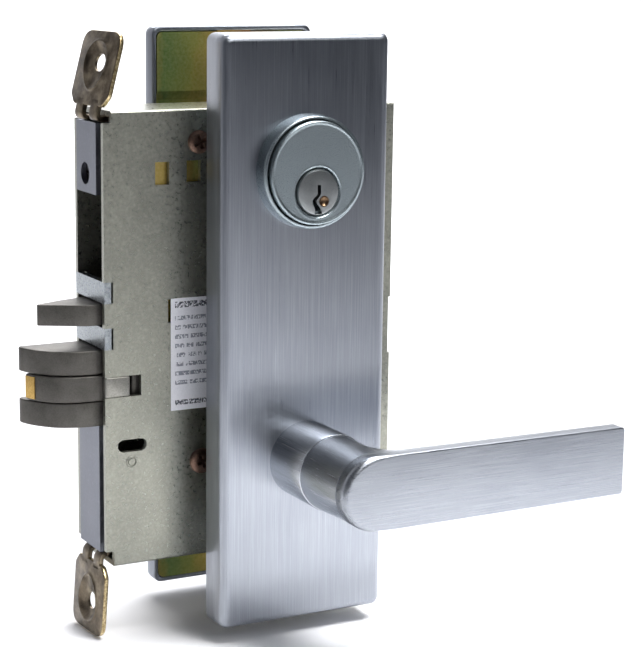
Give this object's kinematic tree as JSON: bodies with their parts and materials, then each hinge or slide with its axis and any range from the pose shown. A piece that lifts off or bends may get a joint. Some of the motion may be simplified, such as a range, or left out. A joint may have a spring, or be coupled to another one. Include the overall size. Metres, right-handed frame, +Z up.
{
  "type": "mortise lock",
  "caption": "Mortise lock case with split latch and auxiliary latch, long escutcheons, outside lever and key cylinder",
  "frame": {"origin": "centre of the lever hub, in the middle of the case's thickness", "axes": "-X out of the door's edge along the latch, -Y to the outside of the door where the lever is, +Z up"},
  "size_m": [0.1833, 0.1172, 0.2056],
  "materials": {
    "zinc_steel": "satin zinc-plated steel",
    "zinc_front": "satin zinc-plated steel",
    "satin_chrome": "brushed satin chrome",
    "sintered_steel": "matt sintered steel",
    "dichromate": "yellow zinc dichromate",
    "copper_screw": "dull bronze-plated steel",
    "label_paper": "printed paper label",
    "spring_steel": "bright wire",
    "brass": "plain brass",
    "tab_steel": "nickel-brown steel, blanked edges",
    "plain_steel": "machined steel"
  },
  "bodies": {
    "lock_case": {"case_shell": "zinc_steel", "case_cover": "zinc_steel", "front_plate_upper": "zinc_front", "front_plate_lower": "zinc_front", "front_bar_upper": "zinc_front", "front_bar_lower": "zinc_front", "case_standoffs": "plain_steel", "cover_screws": "copper_screw", "case_rivet": "plain_steel", "case_label": "label_paper", "tongue_fulcrum": "sintered_steel", "latch_guide": "plain_steel", "latch_spring": "spring_steel", "aux_guide": "plain_steel", "aux_spring": "spring_steel", "guard_pivot_pin": "plain_steel", "tab_pins": "plain_steel", "cylinder_clamp_plate": "dichromate", "cylinder_clamp_screw": "plain_steel", "cylinder_housing": "satin_chrome", "cylinder_collar": "satin_chrome", "driver_pins": "brass", "pin_springs": "spring_steel", "outside_escutcheon": "satin_chrome", "lever_collar": "satin_chrome", "spring_cage": "dichromate", "lever_spring": "spring_steel", "cage_screws": "plain_steel", "mounting_posts": "plain_steel", "through_bolts": "satin_chrome", "inside_mounting_plate": "dichromate", "inside_escutcheon": "satin_chrome"},
    "lever": {"outside_lever": "satin_chrome", "lever_set_screw": "plain_steel", "outside_spindle": "plain_steel", "outside_hub": "plain_steel"},
    "inside_hub": {"inside_hub": "plain_steel"},
    "latch": {"latch_head": "sintered_steel", "latch_tail": "plain_steel", "tongue_pin": "plain_steel"},
    "tongue": {"antifriction_tongue": "sintered_steel", "tongue_wear_strip": "brass"},
    "aux_latch": {"aux_latch": "sintered_steel", "aux_tail": "plain_steel"},
    "guard": {"guard_lever": "dichromate"},
    "stop": {"hub_stop": "plain_steel"},
    "plug": {"cylinder_plug": "satin_chrome", "key_pins": "brass", "cylinder_cam": "brass", "cam_screws": "plain_steel"},
    "tab_top": {"tab_top": "tab_steel"},
    "tab_bottom": {"tab_bottom": "tab_steel"}
  },
  "joints": [
    {"name": "lever_turn", "type": "hinge", "parent": "lock_case", "child": "lever", "pos_m": [0, 0, 0], "axis": [0, 1, 0], "range_deg": [0, 45], "stiffness_Nm_per_rad": 1.2, "springref_deg": -11.46},
    {"name": "inside_hub_turn", "type": "hinge", "parent": "lock_case", "child": "inside_hub", "pos_m": [0, 0, 0], "axis": [0, 1, 0], "range_deg": [0, 45]},
    {"name": "latch_slide", "type": "slide", "parent": "lock_case", "child": "latch", "axis": [1, 0, 0], "range_m": [0, 0.01905], "deforming": ["latch_spring"]},
    {"name": "tongue_swing", "type": "hinge", "parent": "latch", "child": "tongue", "pos_m": [-0.059, 0.003, 0], "axis": [0, 0, -1], "range_deg": [0, 8], "stiffness_Nm_per_rad": 0.05, "springref_deg": -5.73},
    {"name": "aux_slide", "type": "slide", "parent": "lock_case", "child": "aux_latch", "axis": [1, 0, 0], "range_m": [0, 0.013], "stiffness_N_per_m": 150, "springref_m": -0.004, "deforming": ["aux_spring"]},
    {"name": "guard_drop", "type": "hinge", "parent": "lock_case", "child": "guard", "pos_m": [-0.02, 0, 0.06], "axis": [0, 1, 0], "range_deg": [-8, 0]},
    {"name": "stop_slide", "type": "slide", "parent": "lock_case", "child": "stop", "axis": [0, 0, -1], "range_m": [-0.002, 0]},
    {"name": "plug_turn", "type": "hinge", "parent": "lock_case", "child": "plug", "pos_m": [0, 0, 0.092], "axis": [0, 1, 0], "range_deg": [-90, 90]},
    {"name": "tab_top_swivel", "type": "hinge", "parent": "lock_case", "child": "tab_top", "pos_m": [-0.0555, 0, 0.1148], "axis": [0, 0, 1], "range_deg": [-8.2, 3]},
    {"name": "tab_bottom_swivel", "type": "hinge", "parent": "lock_case", "child": "tab_bottom", "pos_m": [-0.0555, 0, -0.0334], "axis": [0, 0, 1], "range_deg": [-6, 3]}
  ],
  "couplings": [
    {"joint": "inside_hub_turn", "follows": "lever_turn", "ratio": 1},
    {"joint": "latch_slide", "follows": "lever_turn", "m_per_rad": 0.024255},
    {"joint": "guard_drop", "follows": "aux_slide", "rad_per_m": -10.74}
  ]
}
